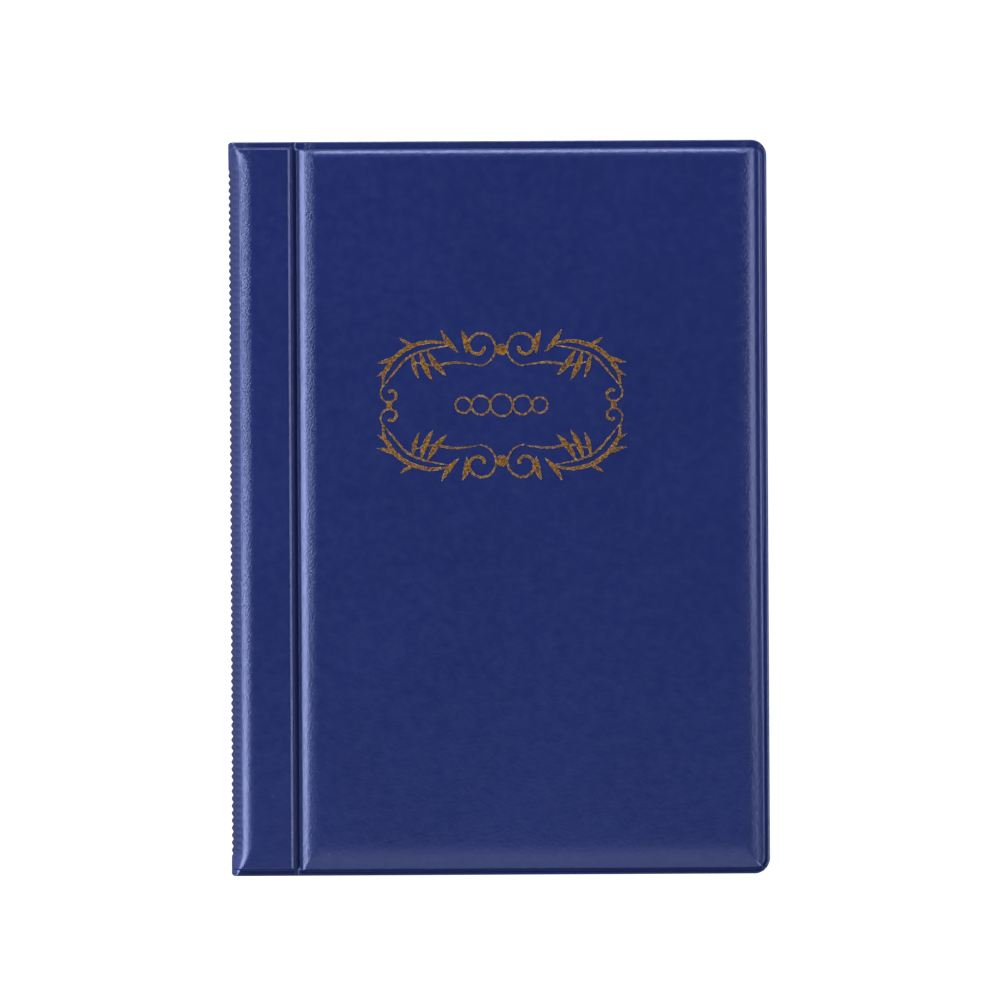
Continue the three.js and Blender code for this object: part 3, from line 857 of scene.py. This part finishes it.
def hinge_groove(side, material):
    """The welded groove between strip and cover."""
    x = steps(-GROOVE_HALF_WIDTH, GROOVE_HALF_WIDTH, 0.06)
    near = edge_insets(3.2, 0.13, 1.2, 8)
    y = lines_across(HALF_LENGTH, near, 8, 1.2)
    x, y = np.meshgrid(x, y, indexing="ij")
    hollow = GROOVE_TOP + GROOVE_RISE * (np.abs(x) / GROOVE_HALF_WIDTH) ** 1.5
    uneven = 0.03 * ripple(x, y, 5, 2)
    upper = np.minimum(hollow + uneven, end_height(y) - 0.02)
    rim = rounded_rim(end_distance(y))
    points, faces, _ = sheet_shell(x + HINGE_X, y, upper, GROOVE_FOOT + rim)
    piece = add_mesh(f"{side}_hinge_groove", on_side(points, side), faces, material)
    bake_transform(piece)


# ---------- leaves ----------
def leaf_wave(x, y):
    """Every leaf lies with the same faint wave, because they rest on each other."""
    return 0.05 * ripple(x, y, 60, 4)


def film_piece(name, x, y, upper, lower, weld, material, kept=None):
    """A sheet of clear film; weld says how milky it is at each point."""
    points, faces, used = sheet_shell(x, y, upper, lower, kept)
    piece = add_mesh(name, points, faces, material)
    add_share(piece, "weld", on_both_faces(weld, used))
    return piece


def near_line(value, line, half_width):
    """1 on a line, falling to 0 just outside its half width."""
    return 1 - ease(np.abs(value - line), half_width * 0.7, half_width)


class LeafPlan:
    """Places of the welds and mouths of a leaf, from its CAD sheet."""

    def __init__(self):
        low, high = box_mm("leaf_01_pocket_sheet")
        self.x_low, self.x_high = low[0], high[0]
        self.half = high[1]
        self.first = self.x_low + HINGE_SIDE_BORDER
        self.last = self.x_high - FORE_EDGE_BORDER
        self.columns = np.linspace(self.first, self.last, POCKET_COLUMNS + 1)
        row_height = 2 * self.half / POCKET_ROWS
        self.row_feet = [self.half - (row + 1) * row_height for row in range(POCKET_ROWS)]
        self.mouths = [self.half - MOUTH_FROM_ROW_TOP - row * row_height for row in range(POCKET_ROWS)]

    def grid(self):
        x_lines = [c + w for c in self.columns for w in (-WELD_HALF_WIDTH, 0, WELD_HALF_WIDTH)]
        x_lines += [c + w for c in self.columns for w in (-MOUTH_SIDE_WELD, MOUTH_SIDE_WELD)]
        x_lines = [line for line in x_lines if self.x_low < line < self.x_high]
        y_lines = [m + w for m in self.mouths for w in (-MOUTH_HEIGHT, 0, FLAP_WELD)]
        y_lines += [foot + w for foot in self.row_feet for w in ROW_WELD]
        edges = np.array([0, 0.15, 0.5, LEAF_CORNER_RADIUS])
        x_lines = [x_lines, self.x_low + edges, self.x_high - edges]
        y_lines = [y_lines, edges - self.half, self.half - edges]
        x = merged(steps(self.x_low, self.x_high, LEAF_STEP), *x_lines, least=LEAF_LEAST_STEP)
        y = merged(steps(-self.half, self.half, LEAF_STEP), *y_lines, least=LEAF_LEAST_STEP)
        return x, y

    def border(self, x, y):
        edge = np.minimum(np.minimum(x - self.x_low, self.x_high - x), self.half - np.abs(y))
        return 1 - ease(edge, 0, 0.5)

    def welds(self, x, y):
        share = self.border(x, y)
        for column in self.columns:
            share = np.maximum(share, near_line(x, column, WELD_HALF_WIDTH))
        for foot in self.row_feet:
            share = np.maximum(share, near_line(y, foot + ROW_WELD[1], WELD_HALF_WIDTH))
        return share

    def swell(self, x, y):
        """The pocket film stands a little away from the back film inside each pocket."""
        across = (x - self.first) / (self.last - self.first) * POCKET_COLUMNS
        inside = (across > 0) & (across < POCKET_COLUMNS)
        bulge = np.where(inside, np.abs(np.sin(math.pi * across)) ** 0.7, 0)
        row_height = 2 * self.half / POCKET_ROWS
        down = (self.half - y) % row_height
        free = MOUTH_FROM_ROW_TOP + FLAP_DROP
        along = np.clip((down - free) / (row_height - free - 2), 0, 1)
        return POCKET_SWELL * bulge * np.sin(math.pi * along) ** 0.7


def back_film(plan, material):
    x, y = plan.grid()
    x, y = np.meshgrid(x, y, indexing="ij")
    weld = plan.border(x, y)
    wave = leaf_wave(x, y)
    x, y = with_round_corners(x, y, plan.x_high, plan.half, LEAF_CORNER_RADIUS)
    return film_piece("leaf_back_film", x, y, wave + FILM, wave, weld, material)


def pocket_film(plan, material):
    lines_x, lines_y = plan.grid()
    x, y = np.meshgrid(lines_x, lines_y, indexing="ij")
    middle_x = (lines_x[1:] + lines_x[:-1]) / 2
    middle_y = (lines_y[1:] + lines_y[:-1]) / 2
    in_column = np.zeros(len(middle_x), bool)
    for left, right in zip(plan.columns[:-1], plan.columns[1:]):
        in_column |= (middle_x > left + MOUTH_SIDE_WELD) & (middle_x < right - MOUTH_SIDE_WELD)
    in_mouth = np.zeros(len(middle_y), bool)
    for mouth in plan.mouths:
        in_mouth |= (middle_y < mouth) & (middle_y > mouth - MOUTH_HEIGHT)
    kept = ~(in_column[:, None] & in_mouth[None, :])
    weld = plan.welds(x, y)
    foot = leaf_wave(x, y) + plan.swell(x, y) - WELD_SINK * weld
    x, y = with_round_corners(x, y, plan.x_high, plan.half, LEAF_CORNER_RADIUS)
    return film_piece("leaf_pocket_film", x, y, foot + FILM, foot, weld, material, kept)


def flap_films(plan, material):
    """Four strips that hang over the pocket mouths, each welded along its upper edge."""
    shells = []
    shares = []
    for mouth in plan.mouths:
        x = merged(steps(plan.first, plan.last, LEAF_STEP), plan.columns, least=0.3)
        low = mouth - FLAP_DROP
        high = mouth + FLAP_WELD
        y = merged(steps(low, high, 1.2), [low + 0.3, high - 1.1, high - 0.3], least=0.1)
        x, y = np.meshgrid(x, y, indexing="ij")
        weld = np.maximum(near_line(y, high - 0.4, 0.9), 1 - ease(y - low, 0, 0.35))
        lift = 0.02 * np.sin((x - plan.first) / 11) ** 2 * ease(high - y, 2, FLAP_DROP)
        foot = leaf_wave(x, y) + lift - WELD_SINK * near_line(y, high - 0.6, 0.8)
        points, faces, used = sheet_shell(x, y, foot + FLAP_FILM, foot)
        shells.append((points, faces))
        shares.append(on_both_faces(weld, used))
    piece = add_mesh("leaf_flaps", *joined(shells), material)
    add_share(piece, "weld", np.concatenate(shares))
    return piece


def margin_block(material):
    """The part of a leaf held in the binding, with its welded spacer."""
    low, high = box_mm("leaf_01_binding_margin")
    edges = np.array([0, 0.12, 0.4])
    x = merged(low[0] + edges, high[0] - edges, steps(low[0], high[0], 1.4), least=0.1)
    y = merged(low[1] + edges, high[1] - edges, steps(low[1], high[1], 5), least=0.1)
    x, y = np.meshgrid(x, y, indexing="ij")
    inset = np.minimum.reduce([x - low[0], high[0] - x, y - low[1], high[1] - y])
    rim = 0.12 * (1 - ease(inset, 0, 0.4))
    slit = 0.05 * near_line(x, (low[0] + high[0]) / 2, 1.0)
    height = high[2] - low[2]
    weld = 0.35 + 0.65 * (1 - ease(inset, 0, 0.6))
    return film_piece("binding_margin", x, y, height - rim - slit, rim, weld, material)


def flex_strip(number, material):
    """The film between the binding and a leaf."""
    label = f"leaf_{number:02d}"
    margin_low, margin_high = box_mm(f"{label}_binding_margin")
    sheet_low, sheet_high = box_mm(f"{label}_back_sheet")
    x = steps(margin_high[0] - FLEX_LAP, sheet_low[0] + FLEX_LAP, 0.22)
    y = merged(steps(sheet_low[1], sheet_high[1], 5), [sheet_low[1] + 0.3, sheet_high[1] - 0.3])
    x, y = np.meshgrid(x, y, indexing="ij")
    foot = sheet_low[2] + FILM + 0.03 + leaf_wave(x, y)
    weld = np.maximum(1 - ease(sheet_high[1] - np.abs(y), 0, 0.6), 0.15)
    piece = film_piece(f"{label}_flex_strip", x, y, foot + FLEX_FILM, foot, weld, material)
    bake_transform(piece)


def placed_copy(pattern, name, height, body, node=None):
    """A copy of a leaf piece at the given height."""
    piece = new_object(name, pattern.data)
    piece.location.z = height * MM
    piece.visible_shadow = False  # films hardly dim the light, and rays through so many are slow
    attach(piece, body)
    if node:
        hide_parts(node)


def add_leaves(material):
    """Ten leaves, each of copies of the same four pieces and a strip of its own."""
    plan = LeafPlan()
    back = back_film(plan, material)
    pocket = pocket_film(plan, material)
    flaps = flap_films(plan, material)
    margin = margin_block(material)
    for number in range(1, LEAF_COUNT + 1):
        label = f"leaf_{number:02d}"
        back_foot = box_mm(f"{label}_back_sheet")[0][2]
        pocket_foot, pocket_top = (corner[2] for corner in box_mm(f"{label}_pocket_sheet"))
        margin_foot = box_mm(f"{label}_binding_margin")[0][2]
        placed_copy(back, f"{label}_back_film", back_foot, label, f"{label}_back_sheet")
        placed_copy(pocket, f"{label}_pocket_film", pocket_foot, label, f"{label}_pocket_sheet")
        placed_copy(flaps, f"{label}_flaps", pocket_top - FLAP_FILM, label)
        placed_copy(margin, f"{label}_margin", margin_foot, "binding", f"{label}_binding_margin")
        flex_strip(number, material)
    for pattern in (back, pocket, flaps, margin):
        bpy.data.objects.remove(pattern)


# ---------- foil ornament ----------
def spline(places, count):
    """A smooth line through a few places."""
    places = np.array([places[0], *places, places[-1]], float)
    line = []
    for index in range(1, len(places) - 2):
        a, b, c, d = places[index - 1: index + 3]
        squared = 2 * a - 5 * b + 4 * c - d
        cubed = 3 * b - a - 3 * c + d
        for t in np.linspace(0, 1, count, endpoint=False):
            line.append(0.5 * (2 * b + (c - a) * t + squared * t**2 + cubed * t**3))
    line.append(places[-2])
    return np.array(line)


def ribbon(line, halves):
    """The outline of a line of varying width."""
    along = np.gradient(line, axis=0)
    along /= np.linalg.norm(along, axis=1)[:, None]
    side = np.stack([-along[:, 1], along[:, 0]], axis=1) * np.asarray(halves)[:, None]
    return np.concatenate([line + side, (line - side)[::-1]])


def band(places, half_width):
    """A line through a few places, widest in its middle."""
    line = spline(places, 9)
    share = np.sin(math.pi * np.linspace(0, 1, len(line)))
    return ribbon(line, half_width * (0.35 + 0.65 * share))


def curl(centre, radius, start_angle, turn, half_width):
    """A line that winds inwards and thickens as it goes."""
    along = np.linspace(0, 1, 60)
    reach = radius * (1 - 0.78 * along)
    angle = start_angle + turn * along
    line = np.stack([centre[0] + reach * np.cos(angle), centre[1] + reach * np.sin(angle)], axis=1)
    return ribbon(line, half_width * (0.55 + 0.75 * along))


def frond(foot, tip, swell):
    """A pointed leaf from its foot to its tip, swollen to one side."""
    foot = np.array(foot, float)
    tip = np.array(tip, float)
    across = np.array([tip[1] - foot[1], foot[0] - tip[0]]) * swell
    middle = (foot + tip) / 2
    t = np.linspace(0, 1, 14)[:, None]
    outward = foot * (1 - t) ** 2 + (middle + across * 2) * 2 * t * (1 - t) + tip * t**2
    back = tip * (1 - t) ** 2 + (middle - across * 0.4) * 2 * t * (1 - t) + foot * t**2
    return np.concatenate([outward[:-1], back[:-1]])


def bead(centre, radius):
    angle = np.linspace(0, 2 * math.pi, 28, endpoint=False)
    return np.stack([centre[0] + radius * np.cos(angle), centre[1] + radius * np.sin(angle)], axis=1)


def foil_quarter():
    """The upper right quarter of the frame, in millimetres from the ornament's centre."""
    return [
        band([(21.5, 10.6), (16.5, 9.6), (11, 10.3), (4.9, 9.55)], 0.3),
        curl((5.3, 14.1), 4.6, -math.pi / 2, -2.5 * math.pi, 0.36),
        band([(12, 14.6), (17.6, 15.3), (23.6, 13.2), (27.8, 8.6), (28.6, 4.2)], 0.55),
        band([(12, 14.5), (18.2, 13.3), (22.6, 11.4), (25.9, 7.8), (28.6, 4.4)], 0.3),
        curl((26.7, 2.7), 2.6, math.pi / 4, -2 * math.pi, 0.34),
        frond((18, 13.6), (13, 6.9), -0.14),
        frond((19.6, 13.4), (16.4, 5.8), -0.14),
        frond((21.4, 12.6), (19.8, 6.4), -0.14),
        frond((10.2, 12.6), (14.6, 18.4), 0.14),
        frond((8.4, 12.2), (9.6, 18.2), -0.2),
        frond((24.6, 12.2), (30.2, 10.2), 0.14),
        frond((26.2, 10), (30.2, 6.9), 0.14),
        frond((20.8, 14.4), (24.6, 16.4), 0.16),
        bead((0, 13.4), 1.4),
        bead((27, 0), 0.75),
    ]


def depth_outside(outline, x, y):
    """Distance to a closed outline, below 0 inside it."""
    nearest = np.full(x.shape, 1e9)
    inside = np.zeros(x.shape, bool)
    for (ax, ay), (bx, by) in zip(outline, np.roll(outline, -1, axis=0)):
        dx, dy = bx - ax, by - ay
        t = np.clip(((x - ax) * dx + (y - ay) * dy) / (dx * dx + dy * dy + 1e-12), 0, 1)
        nearest = np.minimum(nearest, (x - ax - t * dx) ** 2 + (y - ay - t * dy) ** 2)
        if ay != by:
            crosses = ((ay > y) != (by > y)) & (x < (bx - ax) * (y - ay) / (by - ay) + ax)
            inside ^= crosses
    return np.sqrt(nearest) * np.where(inside, -1, 1)


def frame_depth(x, y):
    """Distance to the frame's outline anywhere in the ornament, by its two mirror lines."""
    depth = np.full(x.shape, 1e9)
    for outline in foil_quarter():
        depth = np.minimum(depth, depth_outside(outline, np.abs(x), np.abs(y)))
    return depth


def rings_depth(x, y):
    """Distance to the row of rings that overlap each other, which is centred on the ornament."""
    diameters = sum(RING_RADII) * 2
    overlaps = RING_OVERLAP * (len(RING_RADII) - 1)
    centre = -(diameters - RING_RADII[0] - RING_RADII[-1] - overlaps) / 2
    depth = np.full(x.shape, 1e9)
    for index, radius in enumerate(RING_RADII):
        if index:
            centre += RING_RADII[index - 1] + radius - RING_OVERLAP
        ring = np.abs(np.hypot(x - centre, y) - (radius - RING_WIDTH / 2)) - RING_WIDTH / 2
        depth = np.minimum(depth, ring)
    return depth


def without_corner_contacts(kept):
    """Fills cells in until no two kept cells touch only at a corner."""
    while True:
        a, b, c, d = kept[:-1, :-1], kept[1:, :-1], kept[:-1, 1:], kept[1:, 1:]
        falling = a & d & ~b & ~c
        rising = b & c & ~a & ~d
        if not (falling.any() or rising.any()):
            return kept
        kept[1:, :-1] |= falling
        kept[:-1, :-1] |= rising


def foil_piece(name, node, depth_of, half_size, material):
    """Foil stamped onto the cover wherever depth_of is below 0, its edge drawn exactly onto the outline."""
    lines_x = steps(-half_size[0], half_size[0], FOIL_CELL)
    lines_y = steps(-half_size[1], half_size[1], FOIL_CELL)
    x, y = np.meshgrid(lines_x, lines_y, indexing="ij")
    depth = depth_of(x, y)
    middle = (depth[:-1, :-1] + depth[1:, :-1] + depth[:-1, 1:] + depth[1:, 1:]) / 4
    kept = without_corner_contacts(middle < 0)
    padded_kept = np.pad(kept, 1)
    left, right = padded_kept[:-1], padded_kept[1:]
    touching = np.stack([left[:, :-1], right[:, :-1], left[:, 1:], right[:, 1:]])
    rim = touching.any(axis=0) & ~touching.all(axis=0)
    slope_x, slope_y = np.gradient(depth, lines_x, lines_y)
    steep = np.maximum(np.hypot(slope_x, slope_y), 0.5)
    reach = 0.45 * FOIL_CELL
    shift = np.clip(np.where(rim, depth, 0), -reach, reach)
    x = x - shift * slope_x / steep + FOIL_CENTRE[0]
    y = y - shift * slope_y / steep + FOIL_CENTRE[1]
    foot = COVER_THICKNESS + panel_swell(x, y, PANEL_CROWN) + FOIL_LIFT
    domed = FOIL_THICKNESS * (0.55 + 0.45 * ease(-depth, 0, 0.2))
    points, faces, used = sheet_shell(x, y, foot + domed, foot, kept)
    piece = add_mesh(name, on_side(points, "front"), faces, material, "front_cover", 50)
    add_share(piece, "inner", on_both_faces(ease(-depth, 0.10, 0.22), used))
    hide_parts(node)


# ---------- studio ----------
def add_floor(material):
    size = BACKDROP_RADIUS
    mesh = bpy.data.meshes.new("studio_floor")
    level = cad_bounds[0].z - FLOOR_GAP
    corners = [(-size, -size, level), (size, -size, level), (size, size, level), (-size, size, level)]
    mesh.from_pydata(corners, [], [(0, 1, 2, 3)])
    mesh.materials.append(material)
    floor = new_object("studio_floor", mesh)
    floor.visible_glossy = False


def add_backdrop(material):
    """A wall of the same white far behind the album, which lights nothing and isn't mirrored."""
    shape = bmesh.new()
    bmesh.ops.create_uvsphere(shape, u_segments=48, v_segments=24, radius=BACKDROP_RADIUS)
    mesh = bpy.data.meshes.new("backdrop")
    shape.to_mesh(mesh)
    shape.free()
    mesh.materials.append(material)
    backdrop = new_object("backdrop", mesh)
    backdrop.visible_diffuse = False
    backdrop.visible_glossy = False
    backdrop.visible_shadow = False


def add_softbox(name, place, size, power):
    """A rectangular soft light that faces the album."""
    light = bpy.data.lights.new(name, "AREA")
    light.shape = "RECTANGLE"
    light.size, light.size_y = size
    light.energy = power
    lamp = new_object(name, light)
    lamp.location = place
    target = -lamp.location.normalized()
    lamp.rotation_euler = target.to_track_quat("-Z", "Y").to_euler()
    lamp.visible_camera = False


def add_lights():
    for name, (place, size, power) in SOFTBOXES.items():
        add_softbox(name, place, size, power)
    world = bpy.data.worlds.new("studio")
    world.use_nodes = True
    background = world.node_tree.nodes["Background"]
    background.inputs["Color"].default_value = (1, 1, 1, 1)
    background.inputs["Strength"].default_value = 0.05
    bpy.context.scene.world = world


def add_camera():
    """Straight above the front cover, with the head of the album up."""
    camera = bpy.data.cameras.new("main_camera")
    camera.lens = CAMERA_LENS
    camera.sensor_width = CAMERA_SENSOR
    camera.clip_start = 0.01
    camera.clip_end = 50
    holder = new_object("main_camera", camera)
    distance = PICTURE_WIDTH * CAMERA_LENS / CAMERA_SENSOR
    holder.location = (CAMERA_SHIFT[0] * MM, CAMERA_SHIFT[1] * MM, (ALBUM_TOP + distance) * MM)
    holder.rotation_euler = (0, 0, math.radians(CAMERA_ROLL))
    bpy.context.scene.camera = holder


def set_picture():
    scene = bpy.context.scene
    scene.view_settings.view_transform = "Standard"
    scene.view_settings.look = "None"
    scene.cycles.transparent_max_bounces = 64
    scene.cycles.max_bounces = 5
    scene.cycles.diffuse_bounces = 2
    scene.cycles.glossy_bounces = 2


def paint_boards(material):
    """Boards and the spine card keep their CAD shape."""
    boards = [f"{side}_{panel}_board" for side in ("front", "back") for panel in ("cover", "strip")]
    for node in (*boards, "spine_card"):
        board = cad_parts[node]
        for material_slot in board.material_slots:
            material_slot.material = material


def build():
    vinyl = cover_vinyl()
    liner = liner_vinyl()
    foam = pad_foam()
    film = clear_film()
    foil = gold_foil()
    paint_boards(grey_board())
    for side in ("front", "back"):
        padded_skin(side, vinyl)
        foam_pad(side, foam)
        inner_liner(side, liner)
        strip_inner_liner(side, liner)
        hinge_groove(side, vinyl)
    wrap_spine(vinyl)
    add_leaves(film)
    foil_piece("front_foil_frame", "front_cover_foil_frame", frame_depth, FOIL_HALF_SIZE, foil)
    foil_piece("front_foil_rings", "front_cover_foil_rings", rings_depth, RINGS_HALF_SIZE, foil)
    white = studio_floor()
    add_floor(white)
    add_backdrop(white)
    add_lights()
    add_camera()
    set_picture()


build()
